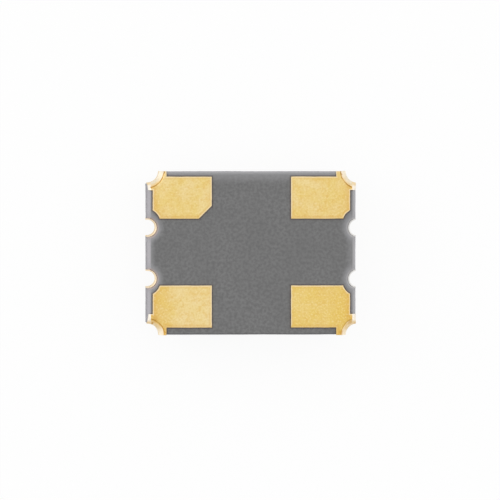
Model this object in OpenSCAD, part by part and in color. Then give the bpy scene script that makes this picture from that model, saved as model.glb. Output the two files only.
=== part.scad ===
// Four-pad ceramic clock oscillator. It is drawn solder pads up, resting on the outer face of its lid.
// X runs along the package, Y across it, and the origin is the middle of the lid's outer face.

/* [Ceramic package] */
// Length of the package between its snapped edges
body_l = 3.2; // [3.1:0.05:3.6]
// Width of the package between its snapped edges
body_w = 2.5; // [2.4:0.05:3]
// Thickness of the base sheet, which carries the solder pads
base_t = 0.25; // [0.2:0.01:0.35]
// Thickness of the middle sheet, which is open round the chip
middle_t = 0.24; // [0.2:0.01:0.35]
// Thickness of the frame sheet, which is open round the quartz
frame_t = 0.25; // [0.18:0.01:0.35]
// Wall between the snapped edge and the quartz chamber
wall_t = 0.41; // [0.4:0.01:0.45]
// Corner radius of the quartz chamber
chamber_r = 0.1; // [0.05:0.01:0.2]
// Shelf left in the chamber for the fixed end of the quartz
mount_shelf = 0.54; // [0.45:0.01:0.6]
// Shelf left in the chamber past the free end of the quartz
rest_shelf = 0.2; // [0.1:0.01:0.25]
// Shelves left along the two sides of the chamber
side_shelf = 0.2; // [0.1:0.01:0.25]
// Corner radius of the chip pocket
pocket_r = 0.08; // [0.04:0.01:0.15]

/* [Scored and snapped edges] */
// Width of the scored bevel on the left edge of the pad face
groove_left = 0.07; // [0.03:0.005:0.09]
// Width of the scored bevel on the right edge of the pad face
groove_right = 0.06; // [0.03:0.005:0.09]
// Width of the scored bevel on the far edge of the pad face
groove_far = 0.05; // [0.02:0.005:0.08]
// Width of the scored bevel on the near edge of the pad face
groove_near = 0.02; // [0.01:0.005:0.08]
// Depth of the scored bevels on the pad face
groove_depth = 0.12; // [0.06:0.01:0.16]
// Width of the scored bevels on the lid side
back_groove = 0.04; // [0.02:0.005:0.08]
// Depth of the scored bevels on the lid side
back_depth = 0.08; // [0.04:0.01:0.12]

/* [Punched corner and side holes] */
// Radius of the quarter-round corner holes
corner_hole_r = 0.195; // [0.16:0.005:0.21]
// Radius of the flared mouth of the corner holes
corner_lip_r = 0.265; // [0.24:0.005:0.28]
// Depth of the flared mouth
flare_depth = 0.09; // [0.05:0.01:0.12]
// Radius of the half-round side holes
side_hole_r = 0.14; // [0.11:0.005:0.145]
// Distance between the two side holes of one end
side_pitch = 0.78; // [0.74:0.01:0.82]
// Shift of all the punched holes along the length
punch_shift = 0.02; // [0:0.005:0.045]

/* [Solder pads] */
// Length of a solder pad
pad_l = 0.9; // [0.8:0.005:0.91]
// Width of a solder pad
pad_w = 0.64; // [0.6:0.005:0.66]
// Distance between pads along the package
pad_pitch_x = 2.11; // [2.05:0.01:2.12]
// Distance between pads across the package
pad_pitch_y = 1.66; // [1.62:0.01:1.68]
// Cut corner that marks the first pad
index_cut = 0.195; // [0.1:0.005:0.25]
// Margin of metal round the mouth of a corner hole
lip_margin = 0.04; // [0.02:0.005:0.06]
// Radius of the relief that keeps a pad clear of the side hole
relief_r = 0.24; // [0.2:0.005:0.26]
// Distance from the snapped edge out to the centre of that relief
relief_out = 0.025; // [0:0.005:0.04]
// Distance from the side hole's centre to the centre of that relief
relief_shift = 0.04; // [0.02:0.005:0.06]
// Thickness of the pads and of the metal lining the holes
film_t = 0.02; // [0.012:0.001:0.025]
// Distance from the pad face down to the side contacts
contact_setback = 0.02; // [0.01:0.005:0.05]
// Shift of the printed pads along the length
print_shift_x = 0.002; // [0:0.002:0.016]
// Shift of the printed pads across the width
print_shift_y = 0.018; // [0:0.002:0.03]

/* [Seal ring and lid] */
// Distance from the snapped edge in to the seal ring
ring_setback = 0.22; // [0.21:0.005:0.22]
// Width of the seal ring's band
ring_band = 0.16; // [0.13:0.005:0.165]
// Thickness of the seal ring
ring_t = 0.13; // [0.1:0.01:0.2]
// Outer corner radius of the seal ring
ring_r = 0.25; // [0.22:0.01:0.3]
// Rounding of the seal ring's punched edges
ring_edge_r = 0.02; // [0.01:0.002:0.03]
// Thickness of the metallised rim that the ring is brazed to
rim_t = 0.015; // [0.01:0.001:0.02]
// Margin of the metallised rim on each side of the ring
rim_margin = 0.02; // [0.016:0.001:0.025]
// Thickness of the braze under the ring
braze_t = 0.015; // [0.01:0.001:0.016]
// Thickness of the lid
lid_t = 0.08; // [0.06:0.01:0.12]
// Distance from the ring's outer edge in to the lid's edge
lid_setback = 0.02; // [0.01:0.005:0.04]
// Width of the track that the welding rollers press round the lid
weld_w = 0.09; // [0.05:0.01:0.12]
// Height lost at the lid's edge under the rollers
weld_h = 0.025; // [0.01:0.005:0.04]

/* [Chip and wiring] */
// Length of the oscillator chip
chip_l = 1.05; // [1:0.01:1.15]
// Width of the oscillator chip
chip_w = 0.85; // [0.75:0.01:0.9]
// Thickness of the oscillator chip
chip_t = 0.13; // [0.1:0.01:0.14]
// Width of the chamfer left by the saw at the chip's back
chip_edge = 0.012; // [0.005:0.001:0.02]
// Radius of a flattened gold bump
bump_r = 0.042; // [0.035:0.001:0.05]
// Height of a flattened gold bump
bump_h = 0.028; // [0.02:0.001:0.035]
// Distance between bumps in a row
bump_pitch = 0.29; // [0.24:0.005:0.3]
// Distance from the chip's edge in to the bumps
bump_inset = 0.085; // [0.07:0.005:0.11]
// Diameter of the land under a bump
bump_land_d = 0.13; // [0.12:0.005:0.16]
// Width of a printed trace
trace_w = 0.1; // [0.07:0.005:0.11]
// Thickness of a printed trace
trace_t = 0.012; // [0.008:0.001:0.016]
// Length over which a side trace swings from its bump into line with its hole
trace_swing = 0.2; // [0.15:0.01:0.25]
// Radius of a filled via
via_r = 0.05; // [0.035:0.005:0.06]
// Distance from the ground bump along the run to the lid's via
ground_via_x = 0.4; // [0.2:0.01:0.5]

/* [Quartz] */
// Length of the quartz blank
blank_l = 1.95; // [1.7:0.01:2]
// Width of the quartz blank
blank_w = 1.25; // [1.1:0.01:1.35]
// Thickness of the quartz blank
blank_t = 0.067; // [0.04:0.001:0.1]
// Gap between the chamber wall and the fixed end of the blank
blank_gap = 0.13; // [0.1:0.01:0.15]
// Length of an electrode
electrode_l = 1.05; // [0.8:0.01:1.15]
// Width of an electrode
electrode_w = 0.82; // [0.6:0.01:0.9]
// Thickness of an electrode film
electrode_t = 0.003; // [0.002:0.0005:0.005]
// Width of the tab that leads to an electrode
tab_w = 0.3; // [0.24:0.01:0.34]
// Length along the blank of the tab that is glued
tab_l = 0.3; // [0.26:0.01:0.34]
// Length of a crystal land
land_l = 0.3; // [0.26:0.01:0.34]
// Width of a crystal land
land_w = 0.34; // [0.28:0.01:0.4]
// Distance from the chamber wall to a crystal land
land_gap = 0.07; // [0.04:0.01:0.1]
// Radius of a dot of conductive adhesive
dot_r = 0.12; // [0.1:0.005:0.13]
// Height of adhesive between the land and the blank
dot_h = 0.03; // [0.02:0.002:0.045]
// Height that the adhesive climbs up the end of the blank
dot_climb = 0.03; // [0.01:0.005:0.035]

/* [Hidden] */
$fn = 48;

// How far a cutting shape passes the face that it opens
over = 0.1;
// Bumps stand in two rows of this many
bump_columns = 4;
left = -1;
right = 1;
near = -1;
far = 1;

// Levels, from the lid's outer face up to the top of the solder pads
ring_z = lid_t;
braze_z = ring_z + ring_t;
rim_z = braze_z + braze_t;
frame_z = rim_z + rim_t;
shelf_z = frame_z + frame_t;
floor_z = shelf_z + middle_t;
face_z = floor_z + base_t;
trace_z = floor_z - trace_t;
chip_z = trace_z - bump_h - chip_t;
land_z = shelf_z - trace_t;
blank_top = land_z - dot_h - electrode_t;
blank_z = blank_top - blank_t;

// Chamber and pocket
chamber_l = body_l - 2 * wall_t;
chamber_w = body_w - 2 * wall_t;
pocket_l = chamber_l - mount_shelf - rest_shelf;
pocket_w = chamber_w - 2 * side_shelf;
pocket_x = (mount_shelf - rest_shelf) / 2;

// Seal ring
ring_l = body_l - 2 * ring_setback;
ring_w = body_w - 2 * ring_setback;
lid_l = ring_l - 2 * lid_setback;
lid_w = ring_w - 2 * lid_setback;
lid_r = ring_r - lid_setback;

// Line under the middle of the seal ring, along which the corner traces run
run_y = (ring_w - ring_band) / 2;
bump_y = chip_w / 2 - bump_inset;
land_x = -chamber_l / 2 + land_gap + land_l / 2;
land_y = side_pitch / 2;
blank_x = -chamber_l / 2 + blank_gap;

function corner_hole(side, edge) = [side * body_l / 2 + punch_shift, edge * body_w / 2];
function side_hole(side, edge) = [side * body_l / 2 + punch_shift, edge * side_pitch / 2];
function bump(column, edge) =
    [pocket_x + (column - (bump_columns - 1) / 2) * bump_pitch, edge * bump_y];

// A corner trace leaves its bump across the chip, runs under the ring and turns into the corner
function corner_route(column, side, edge) =
    let (start = bump(column, edge), end = corner_hole(side, edge))
    [
        start,
        [start.x, edge * run_y],
        [end.x - side * (body_w / 2 - run_y), edge * run_y],
        end,
    ];

// A side trace swings into line with its hole and runs straight to it
function side_route(column, side, edge) =
    let (start = bump(column, edge), end = side_hole(side, edge))
    [start, [start.x + side * trace_swing, end.y], end];

// Each net is the route of its trace, then the centre and radius of the hole that it ends at
function corner_net(column, side, edge) =
    [corner_route(column, side, edge), corner_hole(side, edge), corner_hole_r];
function side_net(column, side, edge) =
    [side_route(column, side, edge), side_hole(side, edge), side_hole_r];

enable_net = corner_net(1, left, far);
ground_net = corner_net(2, right, far);
output_net = corner_net(2, right, near);
supply_net = corner_net(1, left, near);
monitor_a_net = side_net(0, left, far);
monitor_b_net = side_net(0, left, near);
setting_a_net = side_net(3, right, far);
setting_b_net = side_net(3, right, near);
all_nets = [
    enable_net, ground_net, output_net, supply_net,
    monitor_a_net, monitor_b_net, setting_a_net, setting_b_net,
];

via_sites = [[land_x, land_y], [land_x, -land_y]];
ground_via_site = [bump(2, far).x + ground_via_x, run_y];

// ---- shared shapes ----

// Rectangle with round corners, centred
module round_rect(l, w, r) {
    square([l - 2 * r, w], center = true);
    square([l, w - 2 * r], center = true);
    for (x = [-1, 1], y = [-1, 1])
        translate([x * (l / 2 - r), y * (w / 2 - r)]) circle(r);
}

module plate(l, w, r, z, t) {
    translate([0, 0, z]) linear_extrude(t) round_rect(l, w, r);
}

// Sweeps a profile round a rectangle with round corners. In the profile, X is the distance
// outside the rectangle's edge, so it is negative within it, and Y is the height.
module rim_sweep(l, w, r) {
    for (turn = [0, 180]) rotate([0, 0, turn]) {
        translate([l / 2, w / 2 - r, 0]) rotate([90, 0, 0]) linear_extrude(w - 2 * r) children();
        translate([-l / 2 + r, w / 2, 0]) rotate([90, 0, 90]) linear_extrude(l - 2 * r) children();
        translate([l / 2 - r, w / 2 - r, 0]) rotate_extrude(angle = 90)
            translate([r, 0]) children();
        translate([-l / 2 + r, w / 2 - r, 0]) rotate([0, 0, 90]) rotate_extrude(angle = 90)
            translate([r, 0]) children();
    }
}

// Ball squashed between two flat faces, from height z to z + h
module squashed_ball(r, z, h) {
    translate([0, 0, z + h / 2]) intersection() {
        sphere(r);
        cube([2 * r, 2 * r, h], center = true);
    }
}

// Line of constant width through a list of points
module stroke(points) {
    for (i = [1 : len(points) - 1]) {
        run = points[i] - points[i - 1];
        translate(points[i - 1]) rotate(atan2(run.y, run.x))
            translate([0, -trace_w / 2]) square([norm(run), trace_w]);
        translate(points[i]) circle(d = trace_w);
    }
}

// ---- ceramic ----

// What a score of width w and depth d takes off an edge. X is the distance in from the snapped
// edge and Y the height above the scored face. The bevel stands off by skin where metal lies on it.
module score_profile(w, d, skin) {
    slope = w / d;
    lift = skin * norm([w, d]) / d;
    top_x = w - lift + slope * over;
    polygon([[-over, over], [top_x, over], [-over, over - (top_x + over) / slope]]);
}

// Scores one edge of length l at distance reach from the middle, turned to face its side
module score(turn, reach, l, w, d, skin) {
    rotate([0, 0, turn]) translate([reach, l / 2 + over, 0]) rotate([90, 0, 0])
        linear_extrude(l + 2 * over) mirror([1, 0]) score_profile(w, d, skin);
}

module scores(widths, d, skin) {
    score(0, body_l / 2, body_w, widths[0], d, skin);
    score(90, body_w / 2, body_l, widths[1], d, skin);
    score(180, body_l / 2, body_w, widths[2], d, skin);
    score(270, body_w / 2, body_l, widths[3], d, skin);
}

// The laminated block with its scored edges, raised by skin on the pad face
module scored_block(skin) {
    face_scores = [groove_right, groove_far, groove_left, groove_near];
    back_scores = [back_groove, back_groove, back_groove, back_groove];
    difference() {
        translate([-body_l / 2, -body_w / 2, frame_z])
            cube([body_l, body_w, face_z - frame_z + skin]);
        translate([0, 0, face_z]) scores(face_scores, groove_depth, skin);
        translate([0, 0, frame_z]) mirror([0, 0, 1]) scores(back_scores, back_depth, 0);
    }
}

// Corner hole with its flared mouth, narrowed by skin where metal lines it
module flared_hole(skin) {
    slope = (corner_lip_r - corner_hole_r) / flare_depth;
    lift = skin * norm([1, slope]);
    inner_r = corner_hole_r - skin;
    mouth_r = corner_lip_r - lift + slope * over;
    rotate_extrude() polygon([
        [0, over],
        [mouth_r, over],
        [inner_r, over - (mouth_r - inner_r) / slope],
        [inner_r, frame_z - face_z - over],
        [0, frame_z - face_z - over],
    ]);
}

module punched_block(skin) {
    difference() {
        scored_block(skin);
        for (side = [left, right], edge = [near, far]) {
            translate([0, 0, face_z]) translate(corner_hole(side, edge)) flared_hole(skin);
            translate([0, 0, frame_z - over]) translate(side_hole(side, edge))
                cylinder(r = side_hole_r, h = face_z - frame_z + 2 * over);
        }
    }
}

// Co-fired alumina: base sheet, middle sheet and frame sheet, sintered into one piece
module ceramic_base() {
    color("dimgray") difference() {
        punched_block(0);
        plate(chamber_l, chamber_w, chamber_r, frame_z - over, frame_t + over);
        translate([pocket_x, 0, 0]) plate(pocket_l, pocket_w, pocket_r, shelf_z - over, middle_t + over);
        for (net = all_nets) translate([0, 0, trace_z]) linear_extrude(trace_t) trace_run(net);
        for (site = via_sites) via_hole(site, shelf_z);
        via_hole(ground_via_site, frame_z);
    }
}

// ---- solder terminals and side contacts ----

module pad_outline(side, edge, first) {
    corner = corner_lip_r + lip_margin;
    pad = [side * pad_pitch_x / 2, edge * pad_pitch_y / 2];
    difference() {
        union() {
            translate(pad) square([pad_l, pad_w], center = true);
            translate([side * body_l / 2, edge * body_w / 2]) square(2 * corner, center = true);
        }
        translate([side * (body_l / 2 + relief_out), edge * (side_pitch / 2 + relief_shift)])
            circle(relief_r);
        if (first) translate(pad - [side * pad_l / 2, edge * pad_w / 2]) rotate(45)
            square(index_cut * sqrt(2), center = true);
    }
}

// Gold-plated pad that wraps over the scored edges and down the corner hole to the frame sheet.
// The first pad has one corner cut as an index mark.
module terminal(side, edge, first = false) {
    color("khaki") intersection() {
        translate([print_shift_x, print_shift_y, shelf_z])
            linear_extrude(face_z - shelf_z + 2 * film_t) pad_outline(side, edge, first);
        difference() {
            punched_block(film_t);
            punched_block(0);
        }
    }
}

// Gold-plated lining of a half-round side hole
module side_contact(side, edge) {
    color("goldenrod") intersection() {
        scored_block(0);
        translate([0, 0, shelf_z]) translate(side_hole(side, edge)) difference() {
            cylinder(r = side_hole_r, h = face_z - shelf_z - contact_setback);
            translate([0, 0, -over])
                cylinder(r = side_hole_r - film_t, h = face_z - shelf_z + 2 * over);
        }
    }
}

// ---- printed wiring and vias ----

// Course of a trace, from the land under its bump to the middle of the hole that it ends at
module trace_run(net) {
    stroke(net[0]);
    translate(net[0][0]) circle(d = bump_land_d);
}

module trace(net) {
    color("silver") translate([0, 0, trace_z]) linear_extrude(trace_t) difference() {
        trace_run(net);
        translate(net[1]) circle(net[2]);
    }
}

// Hole for a via, punched from below level z up into the trace
module via_hole(site, z) {
    translate([site.x, site.y, z - over]) cylinder(r = via_r, h = trace_z - z + over + trace_t / 2);
}

// Tungsten plug from level z up to the trace
module via_solid(site, z) {
    translate([site.x, site.y, z]) cylinder(r = via_r, h = trace_z - z);
}

module crystal_vias() {
    color("silver") for (site = via_sites) via_solid(site, shelf_z);
}

module ground_via() {
    color("silver") via_solid(ground_via_site, frame_z);
}

module crystal_lands() {
    color("gold") for (site = via_sites)
        translate([site.x - land_l / 2, site.y - land_w / 2, land_z]) cube([land_l, land_w, trace_t]);
}

// ---- seal ring and lid ----

// Metallised band printed on the rim of the frame sheet
module rim_metallising() {
    color("silver") rim_sweep(ring_l, ring_w, ring_r)
        translate([-ring_band - rim_margin, rim_z]) square([ring_band + 2 * rim_margin, rim_t]);
}

// Hollow-faced fillet in the corner between the rim and the side of the ring
module fillet_profile(r) {
    difference() {
        translate([0, -r]) square(r);
        translate([r, -r]) circle(r);
    }
}

module braze_joint() {
    color("gold") rim_sweep(ring_l, ring_w, ring_r) {
        translate([-ring_band, braze_z]) square([ring_band, braze_t]);
        translate([0, rim_z]) fillet_profile(rim_margin);
        translate([-ring_band, rim_z]) mirror([1, 0]) fillet_profile(rim_margin);
    }
}

// Punched ring, with the edges next to the lid rolled over by the punch
module seal_ring() {
    color("gold") rim_sweep(ring_l, ring_w, ring_r) {
        translate([-ring_band, ring_z + ring_edge_r]) square([ring_band, ring_t - ring_edge_r]);
        translate([-ring_band + ring_edge_r, ring_z])
            square([ring_band - 2 * ring_edge_r, ring_edge_r]);
        for (x = [-ring_edge_r, -ring_band + ring_edge_r])
            translate([x, ring_z + ring_edge_r]) circle(ring_edge_r);
    }
}

// Flat lid, pressed thin round its edge where the welding rollers ran
module lid() {
    past_edge = weld_h * (1 + over / weld_w);
    color("silver") difference() {
        plate(lid_l, lid_w, lid_r, 0, lid_t);
        rim_sweep(lid_l, lid_w, lid_r)
            polygon([[-weld_w, 0], [over, past_edge], [over, -over], [-weld_w, -over]]);
    }
}

// ---- chip ----

// Silicon chip, face to the wiring, with a saw chamfer round its back
module oscillator_chip() {
    color("slategray") translate([pocket_x, 0, chip_z]) difference() {
        translate([-chip_l / 2, -chip_w / 2, 0]) cube([chip_l, chip_w, chip_t]);
        for (turn = [0, 180]) rotate([0, 0, turn]) {
            chip_chamfer(chip_l / 2, chip_w);
            rotate([0, 0, 90]) chip_chamfer(chip_w / 2, chip_l);
        }
    }
}

module chip_chamfer(reach, l) {
    translate([reach, 0, 0]) rotate([0, 45, 0])
        cube([chip_edge * sqrt(2), l + 2 * over, chip_edge * sqrt(2)], center = true);
}

module chip_bumps() {
    color("gold") for (column = [0 : bump_columns - 1], edge = [near, far])
        translate(bump(column, edge)) squashed_ball(bump_r, trace_z - bump_h, bump_h);
}

// ---- quartz ----

module quartz_blank() {
    color("lightcyan") translate([blank_x, -blank_w / 2, blank_z]) cube([blank_l, blank_w, blank_t]);
}

// Film of one electrode on the level z, with its tab to the fixed end on the given edge
module electrode_film(z, edge) {
    middle_x = blank_x + blank_l / 2;
    translate([0, 0, z]) {
        translate([middle_x - electrode_l / 2, -electrode_w / 2, 0])
            cube([electrode_l, electrode_w, electrode_t]);
        translate([blank_x, edge * land_y - tab_w / 2, 0])
            cube([middle_x - blank_x, tab_w, electrode_t]);
    }
}

module electrode_upper() {
    color("gainsboro") electrode_film(blank_top, far);
}

// The lower electrode wraps round the fixed end, so that it too can be glued from above
module electrode_lower() {
    color("gainsboro") {
        electrode_film(blank_z - electrode_t, near);
        translate([blank_x - electrode_t, -land_y - tab_w / 2, blank_z - electrode_t])
            cube([electrode_t, tab_w, blank_t + 2 * electrode_t]);
        translate([blank_x - electrode_t, -land_y - tab_w / 2, blank_top])
            cube([tab_l + electrode_t, tab_w, electrode_t]);
    }
}

// Silver-filled adhesive: squeezed between land and blank, and risen up the end of the blank
module adhesive_dots() {
    dot_x = blank_x + dot_r / 2;
    color("darkgray") difference() {
        for (edge = [near, far]) translate([dot_x, edge * land_y, 0])
            squashed_ball(dot_r, land_z - dot_h - dot_climb, dot_h + dot_climb);
        translate([blank_x, -blank_w / 2, blank_z]) cube([blank_l, blank_w, blank_t + electrode_t]);
        translate([blank_x - electrode_t, -land_y - tab_w / 2, blank_z])
            cube([electrode_t, tab_w, blank_t + electrode_t]);
    }
}

ceramic_base();
terminal(left, far, first = true);  // terminal_enable
terminal(right, far);  // terminal_ground
terminal(right, near);  // terminal_output
terminal(left, near);  // terminal_supply
side_contact(left, far);  // monitor_contact_a
side_contact(left, near);  // monitor_contact_b
side_contact(right, far);  // setting_contact_a
side_contact(right, near);  // setting_contact_b
trace(enable_net);  // trace_enable
trace(ground_net);  // trace_ground
trace(output_net);  // trace_output
trace(supply_net);  // trace_supply
trace(monitor_a_net);  // trace_monitor_a
trace(monitor_b_net);  // trace_monitor_b
trace(setting_a_net);  // trace_setting_a
trace(setting_b_net);  // trace_setting_b
crystal_vias();
ground_via();
crystal_lands();
rim_metallising();
braze_joint();
seal_ring();
lid();
oscillator_chip();
chip_bumps();
quartz_blank();
electrode_upper();
electrode_lower();
adhesive_dots();
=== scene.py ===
import math

import bpy
from mathutils import Matrix, Vector


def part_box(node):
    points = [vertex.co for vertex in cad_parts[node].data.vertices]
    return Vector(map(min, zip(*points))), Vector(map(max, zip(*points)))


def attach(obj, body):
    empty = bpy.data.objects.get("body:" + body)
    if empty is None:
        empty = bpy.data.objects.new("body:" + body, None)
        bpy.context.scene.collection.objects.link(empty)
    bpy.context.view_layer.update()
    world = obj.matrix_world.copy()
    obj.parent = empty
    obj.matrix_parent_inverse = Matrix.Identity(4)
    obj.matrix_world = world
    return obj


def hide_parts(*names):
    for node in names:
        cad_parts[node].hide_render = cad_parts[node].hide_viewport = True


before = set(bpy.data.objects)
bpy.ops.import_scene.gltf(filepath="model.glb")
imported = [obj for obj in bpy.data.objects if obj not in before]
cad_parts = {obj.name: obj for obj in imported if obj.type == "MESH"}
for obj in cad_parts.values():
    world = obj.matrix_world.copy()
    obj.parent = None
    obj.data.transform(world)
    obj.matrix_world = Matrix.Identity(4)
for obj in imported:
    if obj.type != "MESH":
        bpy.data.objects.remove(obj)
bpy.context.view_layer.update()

# ---- ceramic package ----
# Three sheets of grey alumina tape, punched, scored and printed while soft, then stacked, pressed and
# fired into one block. Blocks are fired many to a sheet and snapped apart along the scores. Everything
# is drawn in millimetres, pads up, and brought to metres when it is finished.
MM = 0.001


def room(node):
    """Lowest and highest corner of a CAD node, in millimetres."""
    return [Vector(corner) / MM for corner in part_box(node)]


BODY_LOW, BODY_HIGH = room("ceramic_base")
BODY_L, BODY_W = BODY_HIGH.x - BODY_LOW.x, BODY_HIGH.y - BODY_LOW.y
# Levels: the frame's rim, the shelf that carries the quartz, the floor under the chip, and the pad face
FRAME_Z, FACE_Z = BODY_LOW.z, BODY_HIGH.z
SHELF_Z, FLOOR_Z = room("monitor_contact_a")[0].z, room("trace_enable")[1].z
# Each edge of the pad face: its direction, how far in the score reaches, and the rounding of its brink
EDGES = {
    "left": (Vector((-1, 0, 0)), 0.07, 0.012),
    "right": (Vector((1, 0, 0)), 0.06, 0.03),
    "far": (Vector((0, 1, 0)), 0.05, 0.035),
    "near": (Vector((0, -1, 0)), 0.02, 0.008),
}
SCORE_DEPTH = 0.12
BACK_SCORE_W, BACK_SCORE_DEPTH = 0.04, 0.08
# Chamber for the quartz and pocket for the chip: their sizes and roundings, and how far right the pocket is
CHAMBER, POCKET = Vector((2.38, 1.68)), Vector((1.64, 1.28))
CHAMBER_R, POCKET_R, POCKET_X = 0.1, 0.08, 0.17
# The holes are punched a little to the right of the scores, and the corner holes flare at their mouths
HOLE_SHIFT = 0.02
CORNER_HOLE_R, CORNER_LIP_R, FLARE_DEPTH, LIP_ROUNDING = 0.195, 0.265, 0.09, 0.012
SIDE_HOLE_R, SIDE_HOLE_Y = 0.14, 0.39
# Facets of the full round of a corner hole and of a side hole, and of a scored edge's rounded brink
CORNER_FACETS, SIDE_FACETS, BRINK_FACETS = 192, 128, 4
# The punch drags the face down round a side hole
DRAG_W, DRAG_DEPTH = 0.06, 0.04
# Cuts along and up a snapped wall, then the size of each kind of lump on it, and how deep that goes
WALL_CUTS_ALONG, WALL_CUTS_UP = 63, 9
FRACTURE = ((0.6, 0.007), (0.07, 0.004))
SIDES = (-1, 1)
UP = Vector((0, 0, 1))
# How far a cutting tool runs past what it cuts
OVER = 0.1
# Distances that count as nothing: between two levels, and between an edge and where it is looked for
HAIR, CLOSE = 1e-4, 1e-3
# A direction is upright when more than the first share of it is, and level when less than the second is
UPRIGHT, LEVEL = 0.9, 0.1
# Points closer than the first are merged, and slivers thinner than the second are dissolved
MERGE, SLIVER = 1e-5, 3e-4
# Edges that turn by more than this stay sharp
CREASE = math.radians(30)


def reach_of(out):
    """Distance from the middle of the package to the snapped wall on that side."""
    return abs(out.x) * BODY_L / 2 + abs(out.y) * BODY_W / 2


def pick(piece):
    """Selects the piece alone."""
    bpy.ops.object.select_all(action="DESELECT")
    piece.select_set(True)
    bpy.context.view_layer.objects.active = piece


def choose(piece, kind, wanted):
    """Enters edit mode with those faces or edges selected whose middle and direction pass the test."""
    pick(piece)
    bpy.ops.object.mode_set(mode="EDIT")
    bpy.ops.mesh.select_mode(type=kind)
    bpy.ops.mesh.select_all(action="DESELECT")
    bpy.ops.object.mode_set(mode="OBJECT")
    mesh = piece.data
    if kind == "FACE":
        for face in mesh.polygons:
            face.select = bool(wanted(face.center, face.normal))
    else:
        for edge in mesh.edges:
            a, b = (mesh.vertices[i].co for i in edge.vertices)
            edge.select = bool(wanted((a + b) / 2, (b - a).normalized()))
    bpy.ops.object.mode_set(mode="EDIT")


def anywhere(at, facing):
    return True


def faces_up(at, facing):
    return facing.z > UPRIGHT


def faces_down(at, facing):
    return facing.z < -UPRIGHT


def upright(at, along):
    return abs(along.z) > UPRIGHT


def leave():
    """Leaves edit mode."""
    bpy.ops.object.mode_set(mode="OBJECT")


def apply(piece, kind, **settings):
    """Adds a modifier to the piece with its settings, and applies it."""
    pick(piece)
    modifier = piece.modifiers.new(kind.lower(), kind)
    for name, value in settings.items():
        setattr(modifier, name, value)
    bpy.ops.object.modifier_apply(modifier=modifier.name)


def cut(piece, tool, way="DIFFERENCE"):
    """Cuts the piece with a tool solid, which is thrown away. Another way joins or keeps what they share."""
    apply(piece, "BOOLEAN", operation=way, object=tool, solver="EXACT")
    bpy.data.objects.remove(tool)


def box(name, low, high):
    bpy.ops.object.select_all(action="DESELECT")
    low, high = Vector(low), Vector(high)
    bpy.ops.mesh.primitive_cube_add(size=1, location=(low + high) / 2, scale=high - low)
    bpy.ops.object.transform_apply(location=True, rotation=True, scale=True)
    bpy.context.object.name = name
    return bpy.context.object


def copy_of(piece, name):
    twin = piece.copy()
    twin.data = piece.data.copy()
    twin.name = name
    bpy.context.scene.collection.objects.link(twin)
    return twin


def scored_block(name, skin=0.0, spread=0.0):
    """The block with its scored edges. Its pad face is lifted by skin, and its snapped walls stand out by
    spread."""
    far_corner = Vector((BODY_L / 2 + spread, BODY_W / 2 + spread, FACE_Z + skin))
    piece = box(name, (-far_corner.x, -far_corner.y, FRAME_Z), far_corner)
    for out, width, _ in EDGES.values():
        reach = reach_of(out)
        slope = (out * SCORE_DEPTH + UP * width).normalized()
        foot = out * reach + UP * (FACE_Z - SCORE_DEPTH) + slope * skin
        choose(piece, "FACE", anywhere)
        bpy.ops.mesh.bisect(plane_co=foot, plane_no=slope, clear_outer=True, use_fill=True)
        slope = (out * BACK_SCORE_DEPTH - UP * BACK_SCORE_W).normalized()
        foot = out * reach + UP * (FRAME_Z + BACK_SCORE_DEPTH)
        bpy.ops.mesh.select_all(action="SELECT")
        bpy.ops.mesh.bisect(plane_co=foot, plane_no=slope, clear_outer=True, use_fill=True)
        leave()
    for out, width, rounding in EDGES.values():
        brink = reach_of(out) - width

        def on_brink(at, along):
            on_face = at.z > FACE_Z + skin - HAIR
            return on_face and abs(at.dot(out) - brink) < skin + CLOSE and abs(along.dot(out)) < LEVEL

        choose(piece, "EDGE", on_brink)
        bpy.ops.mesh.bevel(offset=rounding + skin / 2, segments=BRINK_FACETS, affect="EDGES")
        leave()
    return piece


def turned(name, profile, centre=(0, 0), sides=96):
    """Solid turned on a standing axis: a disc, extruded and scaled to each radius and height in turn."""
    bpy.ops.object.select_all(action="DESELECT")
    (radius, height), *rest = profile
    place = (*centre, height)
    bpy.ops.mesh.primitive_circle_add(vertices=sides, radius=radius, fill_type="NGON", location=place)
    piece = bpy.context.object
    piece.name = name
    bpy.ops.object.transform_apply(location=True, rotation=True, scale=True)
    bpy.ops.object.mode_set(mode="EDIT")
    bpy.ops.mesh.select_mode(type="FACE")
    bpy.ops.mesh.select_all(action="SELECT")
    for wide, level in rest:
        bpy.ops.mesh.extrude_region_move(TRANSFORM_OT_translate={"value": (0, 0, level - height)})
        bpy.ops.transform.resize(value=(wide / radius, wide / radius, 1), center_override=(*centre, level))
        radius, height = wide, level
    bpy.ops.mesh.select_all(action="SELECT")
    bpy.ops.mesh.normals_make_consistent(inside=False)
    leave()
    return piece


def lip(radius, level, slope, rounding, steps=4):
    """Points along the rounding of a hole's mouth, from a wall that leans out by slope to the flat face."""
    lean = math.atan(slope)
    turn = math.pi / 2 - lean
    middle = radius + rounding * math.tan(turn / 2)
    angles = [lean + turn * i / steps for i in range(steps + 1)]
    return [(middle - rounding * math.cos(a), level - rounding + rounding * math.sin(a)) for a in angles]


def corner_cutter(side, edge, skin):
    """What the flared punch takes out of a corner, narrowed by skin where metal lines the hole."""
    slope = (CORNER_LIP_R - CORNER_HOLE_R) / FLARE_DEPTH
    inner, level = CORNER_HOLE_R - skin, FACE_Z + skin
    mouth = CORNER_LIP_R - skin * math.hypot(1, slope) + slope * skin
    profile = [(inner, FRAME_Z - OVER), (inner, level - (mouth - inner) / slope)]
    profile += lip(mouth, level, slope, LIP_ROUNDING + skin)
    profile.append((profile[-1][0], level + OVER))
    centre = (side * BODY_L / 2 + HOLE_SHIFT, edge * BODY_W / 2)
    return turned("corner_cutter", profile, centre, CORNER_FACETS)


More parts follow.
